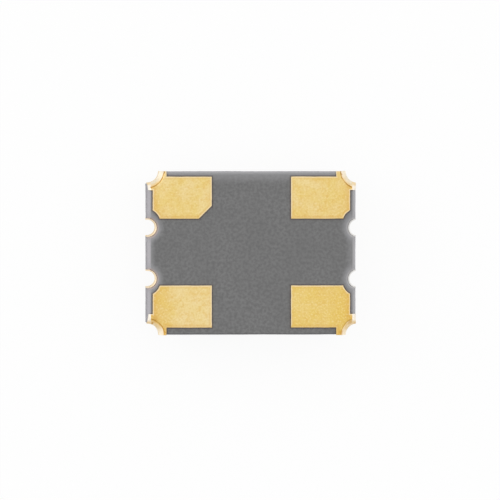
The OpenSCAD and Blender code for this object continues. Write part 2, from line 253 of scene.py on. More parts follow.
def side_cutter(side, edge):
    """What the straight punch takes out of an end, with the face dragged down round its mouth."""
    profile = [(SIDE_HOLE_R, FRAME_Z - OVER)]
    steps = 6
    for i in range(steps + 1):
        a = math.pi / 2 * i / steps
        profile.append((SIDE_HOLE_R + DRAG_W * (1 - math.cos(a)), FACE_Z - DRAG_DEPTH * (1 - math.sin(a))))
    profile.append((profile[-1][0], FACE_Z + OVER))
    centre = (side * BODY_L / 2 + HOLE_SHIFT, edge * SIDE_HOLE_Y)
    return turned("side_cutter", profile, centre, SIDE_FACETS)


def rounded_box(name, size, radius, low, high, x=0.0, segments=10):
    """Box between two levels, with rounded upright edges."""
    piece = box(name, (x - size[0] / 2, -size[1] / 2, low), (x + size[0] / 2, size[1] / 2, high))
    choose(piece, "EDGE", upright)
    bpy.ops.mesh.bevel(offset=radius, segments=segments, affect="EDGES")
    leave()
    return piece


def on_walls(at):
    return abs(at.x) > BODY_L / 2 - HAIR or abs(at.y) > BODY_W / 2 - HAIR


def grid_walls(piece):
    """Lays a grid over the four snapped walls, while they are still flat."""
    choose(piece, "EDGE", lambda at, along: on_walls(at) and abs(along.z) < LEVEL)
    bpy.ops.mesh.subdivide(number_cuts=WALL_CUTS_ALONG)
    leave()
    choose(piece, "EDGE", lambda at, along: on_walls(at) and upright(at, along))
    bpy.ops.mesh.subdivide(number_cuts=WALL_CUTS_UP)
    leave()


def snap_walls(piece):
    """Breaks the flat walls up into the lumps of a fracture."""
    group = piece.vertex_groups.new(name="walls")
    group.add([v.index for v in piece.data.vertices if on_walls(v.co)], 1.0, "REPLACE")
    for size, depth in FRACTURE:
        clouds = bpy.data.textures.new("fracture", "CLOUDS")
        clouds.noise_scale = size
        apply(
            piece, "DISPLACE", texture=clouds, texture_coords="LOCAL",
            strength=depth, mid_level=1.0, vertex_group="walls",
        )


def finish(piece, coat, slot, *nodes):
    """Merges doubles, dissolves slivers, turns faces outward, brings the piece to metres, coats it and hands
    it to the body."""
    choose(piece, "FACE", anywhere)
    bpy.ops.mesh.remove_doubles(threshold=MERGE)
    bpy.ops.mesh.quads_convert_to_tris(ngon_method="BEAUTY")
    bpy.ops.mesh.dissolve_degenerate(threshold=SLIVER)
    bpy.ops.mesh.select_all(action="SELECT")
    bpy.ops.mesh.normals_make_consistent(inside=False)
    leave()
    piece.scale = (MM, MM, MM)
    bpy.ops.object.transform_apply(location=True, rotation=True, scale=True)
    bpy.ops.object.shade_smooth_by_angle(angle=CREASE)
    piece.data.materials.clear()
    piece.data.materials.append(coat)
    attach(piece, "root")
    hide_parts(*nodes)


def srgb(code):
    """Linear colour of an sRGB hex value."""
    parts = [int(code[i:i + 2], 16) / 255 for i in (0, 2, 4)]
    return (*(c / 12.92 if c <= 0.04045 else ((c + 0.055) / 1.055) ** 2.4 for c in parts), 1)


def add(tree, kind, inputs=(), **settings):
    """Adds a shader node with its settings and links. Its inputs go by order or by name. Each is a number, a
    vector, an sRGB hex colour, a socket, or a node, which gives its first output."""
    made = tree.nodes.new("ShaderNode" + kind)
    for name, value in settings.items():
        setattr(made, name, value)
    named = inputs if isinstance(inputs, dict) else dict(enumerate(inputs))
    for name, value in named.items():
        if isinstance(value, str):
            value = srgb(value)
        if isinstance(value, bpy.types.Node):
            value = value.outputs[0]
        if isinstance(value, bpy.types.NodeSocket):
            tree.links.new(value, made.inputs[name])
        else:
            made.inputs[name].default_value = value
    return made


# What makes a Map Range node a soft step, and the scale of a noise whose lumps are 1 mm across
SOFT = {"interpolation_type": "SMOOTHSTEP"}
LUMP = 0.7


def new_material(name):
    """Material, its node tree, and the place on the piece in millimetres."""
    made = bpy.data.materials.new(name)
    made.use_nodes = True
    tree = made.node_tree
    here = add(tree, "TexCoord").outputs["Object"]
    return made, tree, add(tree, "VectorMath", {0: here, "Scale": 1 / MM}, operation="SCALE")


def surface(tree, bumps, height, **values):
    """Sets the Principled shader's sockets, with a bump of that height in millimetres."""
    shader = tree.nodes["Principled BSDF"]
    bump = add(tree, "Bump", {"Height": bumps, "Strength": 1.0, "Distance": height * MM})
    for name, value in {**values, "Normal": bump}.items():
        socket = shader.inputs[name.replace("_", " ")]
        if isinstance(value, bpy.types.Node):
            tree.links.new(value.outputs[0], socket)
        else:
            socket.default_value = value


def laid_over(tree, under, over, value, start, end, most=1.0, mask=None):
    """Lays one colour over another: none of it where the value is at start, and the most where the value is
    at end. A mask keeps it to one place."""
    amount = add(tree, "MapRange", (value, start, end, 0.0, most), **SOFT)
    if mask is not None:
        amount = add(tree, "Math", (amount, mask), operation="MULTIPLY")
    return add(tree, "MixRGB", (amount, under, over))


def inside_score(tree, parts, side):
    """Distance in millimetres from the brink of one scored bevel in over the flat face."""
    out, width, _ = EDGES[side]
    along = parts.outputs["X"] if out.x else parts.outputs["Y"]
    outward = add(tree, "Math", (along, out.x + out.y), operation="MULTIPLY")
    return add(tree, "Math", (reach_of(out) - width, outward), operation="SUBTRACT")


def larger_part(tree, vector):
    """The larger of a vector's X and Y."""
    parts = add(tree, "SeparateXYZ", {0: vector})
    return add(tree, "Math", (parts.outputs["X"], parts.outputs["Y"]), operation="MAXIMUM")


def from_holes(tree, place, away):
    """Distance in millimetres from the nearest of four standing axes, mirrored about the shifted middle."""
    moved = add(tree, "VectorMath", (place, (HOLE_SHIFT, 0, 0)), operation="SUBTRACT")
    moved = add(tree, "VectorMath", {0: moved}, operation="ABSOLUTE")
    level = add(tree, "VectorMath", (moved, (1, 1, 0)), operation="MULTIPLY")
    return add(tree, "VectorMath", (level, (*away, 0)), operation="DISTANCE").outputs["Value"]


# Printed gold: size and pitch of the pads, shift of the print, cut of the index corner, margin of metal
# round a corner hole's mouth, and the relief that keeps a pad clear of the side hole
PAD, PITCH, PRINT = Vector((0.9, 0.64)), Vector((2.11, 1.66)), Vector((0.002, 0.018))
INDEX_CUT, LIP_MARGIN = 0.195, 0.04
RELIEF_R, RELIEF_OUT, RELIEF_SHIFT = 0.24, 0.025, 0.04


def printed_outline(tree, place):
    """Distance in millimetres out of the outline of the printed gold, and less than nothing on it."""
    shifted = add(tree, "VectorMath", (place, (*PRINT, 0)), operation="SUBTRACT")
    folded = add(tree, "VectorMath", {0: shifted}, operation="ABSOLUTE")
    from_pad = add(tree, "VectorMath", (folded, (*PITCH / 2, 0)), operation="SUBTRACT")
    from_pad = add(tree, "VectorMath", {0: from_pad}, operation="ABSOLUTE")
    from_pad = add(tree, "VectorMath", (from_pad, (*PAD / 2, 0)), operation="SUBTRACT")
    arm = CORNER_LIP_R + LIP_MARGIN
    arms = (BODY_L / 2 - arm, BODY_W / 2 - arm, 0)
    from_arms = add(tree, "VectorMath", (arms, folded), operation="SUBTRACT")
    both = (larger_part(tree, from_pad), larger_part(tree, from_arms))
    printed = add(tree, "Math", both, operation="MINIMUM")
    # The relief round the side hole
    level = add(tree, "VectorMath", (folded, (1, 1, 0)), operation="MULTIPLY")
    relief = (BODY_L / 2 + RELIEF_OUT, SIDE_HOLE_Y + RELIEF_SHIFT, 0)
    to_relief = add(tree, "VectorMath", (level, relief), operation="DISTANCE").outputs["Value"]
    in_relief = add(tree, "Math", (RELIEF_R, to_relief), operation="SUBTRACT")
    printed = add(tree, "Math", (printed, in_relief), operation="MAXIMUM")
    # The cut of the index corner, which is a square stood on its corner
    index = ((PAD.x - PITCH.x) / 2, (PITCH.y - PAD.y) / 2, 0)
    to_index = add(tree, "VectorMath", (shifted, index), operation="SUBTRACT")
    to_index = add(tree, "VectorMath", {0: to_index}, operation="ABSOLUTE")
    to_index = add(tree, "VectorMath", (to_index, (1, 1, 0)), operation="DOT_PRODUCT").outputs["Value"]
    in_index = add(tree, "Math", (INDEX_CUT, to_index), operation="SUBTRACT")
    in_index = add(tree, "Math", (in_index, math.sqrt(0.5)), operation="MULTIPLY")
    return add(tree, "Math", (printed, in_index), operation="MAXIMUM")


def fired_alumina():
    """Grey alumina as fired: matt, with the grain of the tape, smoother and paler where a blade pressed it,
    with painted light over that along the scored edges and round the side holes, painted shade along the
    near edge and round the printed gold, and coarse where it was snapped. Its crystals are far finer, and
    are drawn as coarse as they need to be to show."""
    made, tree, place = new_material("fired_grey_alumina")
    parts = add(tree, "SeparateXYZ", {0: place})
    x, y, z = parts.outputs
    cloud = add(tree, "TexNoise", {"Vector": place, "Scale": LUMP / 0.4, "Detail": 3.0})
    grain = add(tree, "TexNoise", {"Vector": place, "Scale": LUMP / 0.03})
    colour = laid_over(tree, "6c6c6c", "727272", cloud, 0.3, 0.7)
    colour = laid_over(tree, colour, "5d5d5d", grain, 0.3, 0.7, 0.85)
    # Paler beside each score, and paler still on its bevel, out to the snapped wall: partly the scored tape's
    # own paler tone, partly painted light from the side lamps, so each edge has its own tones
    for side, beside, width, at_brink, at_wall in (
        ("left", 0.5, 0.08, "aaa7ab", "adaaae"),
        ("right", 0.4, 0.13, "999899", "c6c5c9"),
        ("far", 0.5, 0.16, "828284", "b2b2b4"),
    ):
        inside = inside_score(tree, parts, side)
        colour = laid_over(tree, colour, "939395", inside, width, 0.0, beside)
        bevel = laid_over(tree, at_brink, at_wall, inside, -0.01, -EDGES[side][1])
        colour = laid_over(tree, colour, bevel, inside, 0.008, -0.015, 0.95)
    # Painted shade: the snapped edge on the near side, which faces away from the lamps, is painted dark
    colour = laid_over(tree, colour, "3a393c", inside_score(tree, parts, "near"), 0.012, 0.0, 0.8)
    # Painted light: the face round the mouths of the punched side holes, dragged down so that it leans to the
    # lamps, is painted paler
    to_hole = from_holes(tree, place, (BODY_L / 2, SIDE_HOLE_Y))
    at_mouth = add(tree, "MapRange", (z, FACE_Z - 0.2, FACE_Z - 0.05), **SOFT)
    paler_halo_w = 0.13
    colour = laid_over(tree, colour, "9b9a9d", to_hole, SIDE_HOLE_R + paler_halo_w, SIDE_HOLE_R, 0.75, at_mouth)
    # Painted highlight on the brink of each side hole's mouth, browner on the left
    brink = laid_over(tree, "b09e98", "b2b0b0", x, 0.0, 0.1)
    colour = laid_over(tree, colour, brink, to_hole, SIDE_HOLE_R + 0.04, SIDE_HOLE_R + 0.01, 0.8, at_mouth)
    # Painted shade: the ceramic is darkened along the foot of the printed gold
    on_face = add(tree, "MapRange", (z, FACE_Z - 0.04, FACE_Z - 0.01), **SOFT)
    colour = laid_over(tree, colour, "463c44", printed_outline(tree, place), 0.03, 0.002, 0.8, on_face)
    # Snapped walls are coarse, with a thin dark line where two sheets were pressed together
    folded = add(tree, "VectorMath", {0: place}, operation="ABSOLUTE")
    past_wall = add(tree, "VectorMath", (folded, (BODY_L / 2, BODY_W / 2, 0)), operation="SUBTRACT")
    past_wall = larger_part(tree, past_wall)
    snapped = add(tree, "MapRange", (past_wall, -0.02, -0.01), **SOFT)
    coarse = add(tree, "TexNoise", {"Vector": place, "Scale": LUMP / 0.04, "Detail": 6.0})
    broken = laid_over(tree, "817f83", "a09da2", coarse, 0.3, 0.7)
    colour = laid_over(tree, colour, broken, past_wall, -0.02, -0.01, 0.85)
    for seam in (SHELF_Z, FLOOR_Z):
        to_seam = add(tree, "Math", (z, seam), operation="SUBTRACT")
        to_seam = add(tree, "Math", {0: to_seam}, operation="ABSOLUTE")
        colour = laid_over(tree, colour, "48474a", to_seam, 0.008, 0.001, 0.6, snapped)
    rough = add(tree, "Math", (coarse, 8.0), operation="MULTIPLY")
    relief = add(tree, "Mix", {"Factor": snapped, "A": grain, "B": rough})
    surface(tree, relief, 0.002, Base_Color=colour, Roughness=0.6, IOR=1.6)
    return made


ceramic = scored_block("ceramic_package")
form = scored_block("form_under_metal", spread=OVER)
grid_walls(ceramic)
for side in SIDES:
    for edge in SIDES:
        cut(form, corner_cutter(side, edge, 0.0))
        cut(ceramic, corner_cutter(side, edge, 0.0))
        cut(ceramic, side_cutter(side, edge))
cut(ceramic, rounded_box("chamber", CHAMBER, CHAMBER_R, FRAME_Z - OVER, SHELF_Z))
cut(ceramic, rounded_box("pocket", POCKET, POCKET_R, SHELF_Z - OVER, FLOOR_Z, x=POCKET_X))
snap_walls(ceramic)
finish(ceramic, fired_alumina(), "ceramic", "ceramic_base")

# ---- printed wiring and vias ----
# Tungsten paste, screened on the tape and pressed into its punched vias, and fired with the ceramic.
# It lies between the sheets and keeps the shape that the frame gives it.


def fired_tungsten():
    """Dull grey metal with the coarse grain of a sintered paste."""
    made, tree, place = new_material("fired_tungsten_paste")
    grain = add(tree, "TexNoise", {"Vector": place, "Scale": LUMP / 0.02, "Detail": 3.0})
    colour = laid_over(tree, "77767a", "9a999c", grain, 0.3, 0.7)
    surface(tree, grain, 0.003, Base_Color=colour, Roughness=0.55, Metallic=1.0)
    return made


def coat_node(name, coat):
    """Gives a CAD node that stays as it is its finish."""
    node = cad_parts[name]
    node.data.materials.clear()
    node.data.materials.append(coat)


tungsten = fired_tungsten()
for net in ("enable", "ground", "output", "supply", "monitor_a", "monitor_b", "setting_a", "setting_b"):
    coat_node("trace_" + net, tungsten)
coat_node("crystal_vias", tungsten)
coat_node("ground_via", tungsten)

# ---- gold terminals ----
# Tungsten paste printed on the pad face and drawn down the flared corner holes, fired with the ceramic,
# then plated with nickel and gold. Each is one film, which also bends over the scored bevels.
FILM = 0.02
# The snapping has torn the film back from the left wall: by this much at the corner hole, and at this
# angle away from the wall further along
TEAR, TEAR_TURN = 0.015, math.radians(9)
# A printed edge is straight where this share of its length runs along X or Y. It is cut up there and bent
# into waves: the direction and length of each, and how far they swing
STRAIGHT, PRINT_CUTS = 0.9999, 11
WAVES, WAVE_SWING = (("X", 0.1), ("Y", 0.13)), 0.008
# Brown marks on the film: place, size and strength
BROWN_MARKS = (
    (-1.46, -1.01, 0.06, 0.4), (-1.505, -1.065, 0.025, 0.9), (1.51, -1.05, 0.045, 0.5),
    (1.37, -1.205, 0.05, 0.6), (-1.53, 1.005, 0.02, 0.6), (1.497, 1.028, 0.02, 0.8),
    (1.375, 1.205, 0.02, 0.8), (-1.316, -1.205, 0.025, 0.6), (1.59, -1.07, 0.03, 0.5),
)


def plated_gold():
    """Matt gold over a grainy paste: cream to orange in patches on the pads, with a painted highlight as a
    thin bright rim, painted reflection paling the flares of the corner holes and the side holes, painted
    shade as a brown line at the lip of each corner hole, and brown marks near the ends of the flares."""
    made, tree, place = new_material("matt_plated_gold")
    parts = add(tree, "SeparateXYZ", {0: place})
    x, y, z = parts.outputs
    patch = add(tree, "TexNoise", {"Vector": place, "Scale": LUMP / 0.16, "Detail": 3.0})
    fleck = add(tree, "TexNoise", {"Vector": place, "Scale": LUMP / 0.045})
    grain = add(tree, "TexNoise", {"Vector": place, "Scale": LUMP / 0.02})
    elsewhere = add(tree, "VectorMath", (place, (4.0, 3.0, 7.0)), operation="ADD")
    warmth = add(tree, "TexNoise", {"Vector": elsewhere, "Scale": LUMP / 0.3})
    colour = laid_over(tree, "eed487", "f1da9c", patch, 0.35, 0.65)
    colour = laid_over(tree, colour, "eac773", warmth, 0.4, 0.75, 0.4)
    # Deeper in colour towards the two ends, most of all on the near side, and paler at the inner end of
    # the near left pad
    ends = (inside_score(tree, parts, "left"), inside_score(tree, parts, "right"))
    on_face = add(tree, "Math", ends, operation="MINIMUM")
    near = add(tree, "MapRange", (y, 1.0, -1.0), **SOFT)
    on_left = add(tree, "MapRange", (x, 0.0, -0.1), **SOFT)
    near_left = add(tree, "Math", (near, on_left), operation="MULTIPLY")
    colour = laid_over(tree, colour, "f6e3b4", x, -1.2, -0.95, 0.38, near_left)
    colour = laid_over(tree, colour, "e8c05a", on_face, 0.42, 0.1, 0.5, near)
    on_right = add(tree, "MapRange", (x, 0.0, 0.5, 0.0, 0.5), **SOFT)
    near_right = add(tree, "Math", (near, on_right), operation="MULTIPLY")
    colour = add(tree, "MixRGB", (near_right, colour, "eccb62"))
    colour = laid_over(tree, colour, "e0ae54", on_face, 0.16, 0.04, 0.3)
    colour = laid_over(tree, colour, "e6bf68", fleck, 0.45, 0.75, 0.5)
    colour = laid_over(tree, colour, "fae6b2", grain, 0.5, 0.3, 0.45)
    colour = laid_over(tree, colour, "d4ac5c", grain, 0.5, 0.7, 0.25)
    # Painted highlight: a thin bright rim along the edge of the paste, and painted shade: a darker line along
    # it, most of all on the near side of each pad, where the rim lies in shade and is faint
    wander = add(tree, "MapRange", (fleck, 0.3, 0.7, -0.004, 0.004), **SOFT)
    outline = add(tree, "Math", (printed_outline(tree, place), wander), operation="ADD")
    up_pad = add(tree, "Math", (y, PITCH.y - PRINT.y), operation="ADD")
    up_pad = add(tree, "Math", (up_pad, PITCH.y), operation="MODULO")
    low_side = add(tree, "MapRange", (up_pad, PITCH.y / 2, PITCH.y / 4, 0.4, 1.0), **SOFT)
    colour = laid_over(tree, colour, "dca850", outline, -0.06, -0.03, 0.35, low_side)
    foot = (PITCH.y - PAD.y) / 2
    above_foot = add(tree, "MapRange", (up_pad, foot + 0.02, foot + 0.035, 0.3, 1.0), **SOFT)
    colour = laid_over(tree, colour, "fbe9c4", outline, -0.021, -0.012, 0.6, above_foot)
    # Painted shade: a brown line where the film dips into the corner hole
    to_corner = from_holes(tree, place, (BODY_L / 2, BODY_W / 2))
    wander = add(tree, "MapRange", (patch, 0.3, 0.7, -0.007, 0.007), **SOFT)
    to_corner = add(tree, "Math", (to_corner, wander), operation="ADD")
    left_shift = add(tree, "MapRange", (x, 0.0, -0.1, 0.0, 0.006), **SOFT)
    to_corner = add(tree, "Math", (to_corner, left_shift), operation="ADD")
    flecked = add(tree, "MapRange", (fleck, 0.3, 0.6, 0.45, 0.9), **SOFT)
    at_brink = add(tree, "MapRange", (on_face, 0.08, 0.02), **SOFT)
    strength = add(tree, "Math", (flecked, at_brink), operation="MAXIMUM")
    strength = add(tree, "Math", (strength, near_right), operation="SUBTRACT")
    off_bevel = add(tree, "MapRange", (on_face, 0.0, 0.01), **SOFT)
    strength = add(tree, "Math", (strength, off_bevel), operation="MULTIPLY")
    brown = add(tree, "MixRGB", (near, "b98630", "cf9b3e"))
    dip = CORNER_LIP_R
    colour = laid_over(tree, colour, brown, to_corner, dip + 0.008, dip - 0.005, 1.0, strength)
    # Painted reflection: the flare pales down into the hole as if it mirrored the bright surroundings, and
    # the far ones, lit from the far side, are paler than the near ones. It is palest where it comes out on
    # the far and near edges. Deeper down the wall keeps the gold's own grainy colour
    deep = add(tree, "MixRGB", (near, "eadfc6", "ead3a6"))
    shallow = add(tree, "MixRGB", (near, "f2d292", "f4cd78"))
    pale = laid_over(tree, shallow, deep, to_corner, dip - 0.01, CORNER_HOLE_R)
    pale = laid_over(tree, pale, "fbf0dc", fleck, 0.4, 0.7, 0.5)
    folded = add(tree, "VectorMath", {0: place}, operation="ABSOLUTE")
    folded_x, folded_y, _ = add(tree, "SeparateXYZ", {0: folded}).outputs
    round_hole = add(tree, "Math", (folded_x, folded_y), operation="SUBTRACT")
    pale = laid_over(tree, pale, "fff7e6", round_hole, 0.34, 0.16, 0.7)
    wall = laid_over(tree, "e3bd72", "efd49c", grain, 0.3, 0.7, 0.5)
    pale = laid_over(tree, wall, pale, z, FACE_Z - 0.38, FACE_Z - 0.08)
    colour = laid_over(tree, colour, pale, to_corner, dip - 0.011, dip - 0.021)
    # Painted reflection: the film is palest of all where it bends over the bevel and faces the bright
    # surroundings
    high = add(tree, "MapRange", (z, FACE_Z - 0.12, FACE_Z - 0.08), **SOFT)
    bent = laid_over(tree, "fffaf1", "f4dcb0", to_corner, dip - 0.025, dip - 0.065)
    colour = laid_over(tree, colour, bent, on_face, 0.004, -0.008, 0.85, high)
    # Painted reflection: the linings of the side holes are pale at the mouth, and on the right they are
    # greyer
    lining = laid_over(tree, "f3dfbf", "e4e2df", x, 0.0, 0.1)
    mouth = add(tree, "MapRange", (z, FACE_Z - 0.38, FACE_Z - 0.1), **SOFT)
    to_hole = from_holes(tree, place, (BODY_L / 2, SIDE_HOLE_Y))
    colour = laid_over(tree, colour, lining, to_hole, SIDE_HOLE_R + 0.01, SIDE_HOLE_R + 0.005, 1.0, mouth)
    # Brown marks at the listed places near the ends of the flares
    level = add(tree, "VectorMath", (place, (1, 1, 0)), operation="MULTIPLY")
    for mark_x, mark_y, size, most in BROWN_MARKS:
        away = add(tree, "VectorMath", (level, (mark_x, mark_y, 0)), operation="DISTANCE").outputs["Value"]
        wander = add(tree, "MapRange", (grain, 0.3, 0.7, -0.2 * size, 0.2 * size), **SOFT)
        away = add(tree, "Math", (away, wander), operation="ADD")
        colour = laid_over(tree, colour, brown, away, size, 0.2 * size, most, high)
    surface(tree, grain, 0.002, Base_Color=colour, Roughness=0.5, Metallic=1.0)
    return made


def terminal_prism(side, edge, first):
    """Standing prism with the printed outline of a terminal and of its arms to the corner. The first terminal
    has the cut index corner."""
    low, high = SHELF_Z, FACE_Z + OVER
    cx, cy = side * PITCH.x / 2 + PRINT.x, edge * PITCH.y / 2 + PRINT.y
    piece = box("prism", (cx - PAD.x / 2, cy - PAD.y / 2, low), (cx + PAD.x / 2, cy + PAD.y / 2, high))
    kx, ky = side * BODY_L / 2 + PRINT.x, edge * BODY_W / 2 + PRINT.y
    arm = CORNER_LIP_R + LIP_MARGIN
    cut(piece, box("arms", (kx - arm, ky - arm, low), (kx + arm, ky + arm, high)), "UNION")
    relief_at = (side * (BODY_L / 2 + RELIEF_OUT) + PRINT.x, edge * (SIDE_HOLE_Y + RELIEF_SHIFT) + PRINT.y)
    cut(piece, turned("relief", [(RELIEF_R, low - OVER), (RELIEF_R, high + OVER)], relief_at))
    if first:
        index_at = (cx - side * PAD.x / 2, cy - edge * PAD.y / 2)
        cut(piece, turned("index", [(INDEX_CUT, low - OVER), (INDEX_CUT, high + OVER)], index_at, sides=4))
    # Printed edges wander a little: the outline is bent while it is flat, and raised again
    choose(piece, "FACE", lambda at, facing: not faces_down(at, facing))
    bpy.ops.mesh.delete(type="FACE")
    leave()
    choose(piece, "EDGE", lambda at, along: max(abs(along.x), abs(along.y)) > STRAIGHT)
    bpy.ops.mesh.subdivide(number_cuts=PRINT_CUTS)
    leave()
    for direction, length in WAVES:
        clouds = bpy.data.textures.new("print_wander_" + direction, "CLOUDS")
        clouds.noise_scale = length
        apply(
            piece, "DISPLACE", texture=clouds, texture_coords="LOCAL",
            direction=direction, strength=WAVE_SWING,
        )
    choose(piece, "FACE", anywhere)
    bpy.ops.mesh.extrude_region_move(TRANSFORM_OT_translate={"value": (0, 0, high - low)})
    bpy.ops.mesh.select_all(action="SELECT")
    bpy.ops.mesh.normals_make_consistent(inside=False)
    leave()
    return piece


gold = plated_gold()
shell = scored_block("gold_film", skin=FILM)
for side in SIDES:
    for edge in SIDES:
        cut(shell, corner_cutter(side, edge, FILM))
cut(shell, form)
for name, side, edge in (("enable", -1, 1), ("ground", 1, 1), ("output", 1, -1), ("supply", -1, -1)):
    terminal = copy_of(shell, "gold_terminal_" + name)
    cut(terminal, terminal_prism(side, edge, name == "enable"), "INTERSECT")
    if side < 0:
        choose(terminal, "FACE", anywhere)
        torn = Vector((-math.cos(TEAR_TURN), -edge * math.sin(TEAR_TURN), 0))
        brink = Vector((-BODY_L / 2 + TEAR, edge * (BODY_W / 2 - CORNER_HOLE_R), 0))
        bpy.ops.mesh.bisect(plane_co=brink, plane_no=torn, clear_outer=True, use_fill=True)
        leave()
    finish(terminal, gold, "gold_plating", "terminal_" + name)
bpy.data.objects.remove(shell)

# ---- gold side contacts ----
# The same plated paste, drawn by suction down the half-round holes of the two ends. The factory reaches
# the quartz and the chip's settings through them, so they stop short of the face that is soldered.
CONTACT_TOP, CONTACT_ROUNDING = room("monitor_contact_a")[1].z, FILM * 0.6
CONTACT_NAMES = {
    (-1, 1): "monitor_contact_a", (-1, -1): "monitor_contact_b",
    (1, 1): "setting_contact_a", (1, -1): "setting_contact_b",
}

for (side, edge), name in CONTACT_NAMES.items():
    centre = (side * BODY_L / 2 + HOLE_SHIFT, edge * SIDE_HOLE_Y)
    plug = [(SIDE_HOLE_R, SHELF_Z), (SIDE_HOLE_R, CONTACT_TOP)]
    contact = turned("gold_" + name, plug, centre, SIDE_FACETS)
    bore = [(SIDE_HOLE_R - FILM, SHELF_Z - OVER)]
    bore += lip(SIDE_HOLE_R - FILM, CONTACT_TOP, 0, CONTACT_ROUNDING)
    bore.append((bore[-1][0], CONTACT_TOP + OVER))
    cut(contact, turned("bore", bore, centre, SIDE_FACETS))
    cut(contact, scored_block("limits"), "INTERSECT")
    finish(contact, gold, "gold_plating", name)

# ---- metallised rim, braze and seal ring ----
# The rim of the frame sheet is metallised, a punched Kovar ring is brazed to it with silver-copper, and
# nickel and gold are plated over all three. The braze climbs both sides of the ring in a hollow fillet.
RING_LOW, RING_HIGH = room("seal_ring")
RIM_LOW, RIM_HIGH = room("rim_metallising")
RING = RING_HIGH - RING_LOW
RING_R, RING_BAND, RING_EDGE_R = 0.25, 0.16, 0.02
RIM_MARGIN = (RIM_HIGH.x - RIM_LOW.x - RING.x) / 2
# Facets of the rounded corners of the ring and the lid, and of the ring's rounded edge
BEND_FACETS, RING_EDGE_FACETS = 24, 5


def band(name, margin, low, high):
    """Frame on the ring's outline, wider than the ring by margin on both sides."""
    outside = (RING.x + 2 * margin, RING.y + 2 * margin)
    deep = RING_BAND + margin
    inside = (RING.x - 2 * deep, RING.y - 2 * deep)
    piece = rounded_box(name, outside, RING_R + margin, low, high, segments=BEND_FACETS)
    opening = rounded_box("opening", inside, RING_R - deep, low - OVER, high + OVER, segments=BEND_FACETS)
    cut(piece, opening)
    return piece


def plated_metal(name, dark, light, rough, grain_size):
    """Plated sheet metal: even and satin, with the faint long grain of the rolled strip under the plate."""
    made, tree, place = new_material(name)
    stretched = add(tree, "VectorMath", (place, (0.06, 1.0, 1.0)), operation="MULTIPLY")
    grain = add(tree, "TexNoise", {"Vector": stretched, "Scale": LUMP / grain_size})
    cloud = add(tree, "TexNoise", {"Vector": place, "Scale": LUMP / 0.3, "Detail": 3.0})
    both = add(tree, "Mix", {"Factor": 0.4, "A": grain, "B": cloud})
    colour = laid_over(tree, dark, light, both, 0.35, 0.65)
    roughness = add(tree, "MapRange", (cloud, 0.3, 0.7, rough - 0.05, rough + 0.05), **SOFT)
    surface(tree, grain, 0.0008, Base_Color=colour, Metallic=1.0, Roughness=roughness)
    return made


ring_gold = plated_metal("gold_plated_kovar", "e0bb68", "eac983", 0.38, 0.02)
braze_gold = plated_metal("gold_plated_braze", "d8ae58", "e9c57c", 0.3, 0.08)
rim = band("rim_metal", RIM_MARGIN, RIM_LOW.z, RIM_HIGH.z)
finish(rim, ring_gold, "rim_metal", "rim_metallising")


def hollow_flare(name, outline, radius, grow):
    """Tall solid on an outline, whose sides step out or in on a hollow quarter circle just under the rim."""
    level, steps, out = RIM_LOW.z - RIM_MARGIN, 6, 0.0
    piece = rounded_box(name, outline, radius, level - OVER, level, segments=BEND_FACETS)
    choose(piece, "FACE", faces_up)
    for i in range(1, steps + 1):
        a = math.pi / 2 * i / steps
        next_out = grow * RIM_MARGIN * (1 - math.cos(a))
        next_level = RIM_LOW.z - RIM_MARGIN * (1 - math.sin(a))
        wider = [(length + 2 * next_out) / (length + 2 * out) for length in outline]
        bpy.ops.mesh.extrude_region_move(TRANSFORM_OT_translate={"value": (0, 0, next_level - level)})
        bpy.ops.transform.resize(value=(*wider, 1), center_override=(0, 0, next_level))
        out, level = next_out, next_level
    bpy.ops.mesh.extrude_region_move(TRANSFORM_OT_translate={"value": (0, 0, OVER)})
    leave()
    return piece


braze = hollow_flare("braze_fillet", (RING.x, RING.y), RING_R, 1)
opening = (RING.x - 2 * RING_BAND, RING.y - 2 * RING_BAND)
cut(braze, hollow_flare("opening", opening, RING_R - RING_BAND, -1))
for level, facing in ((RING_HIGH.z, -1), (RIM_LOW.z, 1)):
    choose(braze, "FACE", anywhere)
    bpy.ops.mesh.bisect(plane_co=(0, 0, level), plane_no=(0, 0, facing), clear_outer=True, use_fill=True)
    leave()
finish(braze, braze_gold, "braze", "braze_joint")

ring = band("kovar_seal_ring", 0.0, RING_LOW.z, RING_HIGH.z)
choose(ring, "EDGE", lambda at, along: at.z < RING_LOW.z + CLOSE and abs(along.z) < LEVEL)
bpy.ops.mesh.bevel(offset=RING_EDGE_R, segments=RING_EDGE_FACETS, affect="EDGES")
leave()
finish(ring, ring_gold, "ring_metal", "seal_ring")

# ---- oscillator chip and bumps ----
# Silicon chip, ground thin and sawn from its wafer. It is set face to the wiring, on eight gold bumps that
# are bonded to it like balls of wire.


def silicon():
    """Ground silicon: dark blue grey, half glossy, with the fine curved scratches of the grinding wheel."""
    made, tree, place = new_material("ground_silicon")
    # At this scale the rings are 0.026 mm apart
    rings = {"Vector": place, "Scale": 12.0, "Distortion": 6.0, "Detail": 3.0}
    scratches = add(tree, "TexWave", rings, wave_type="RINGS").outputs["Fac"]
    colour = add(tree, "MixRGB", (scratches, "32363d", "43474f"))
    surface(tree, scratches, 0.0004, Base_Color=colour, Roughness=0.3, IOR=3.5)
    return made


coat_node("oscillator_chip", silicon())
coat_node("chip_bumps", plated_metal("bonded_gold_bumps", "e2b95a", "f2d284", 0.3, 0.02))

# ---- quartz, electrodes and adhesive ----
# A lapped plate of quartz with silver films on both faces, glued at one end to two printed lands with
# silver-filled adhesive, and free at the other end so that it can vibrate.


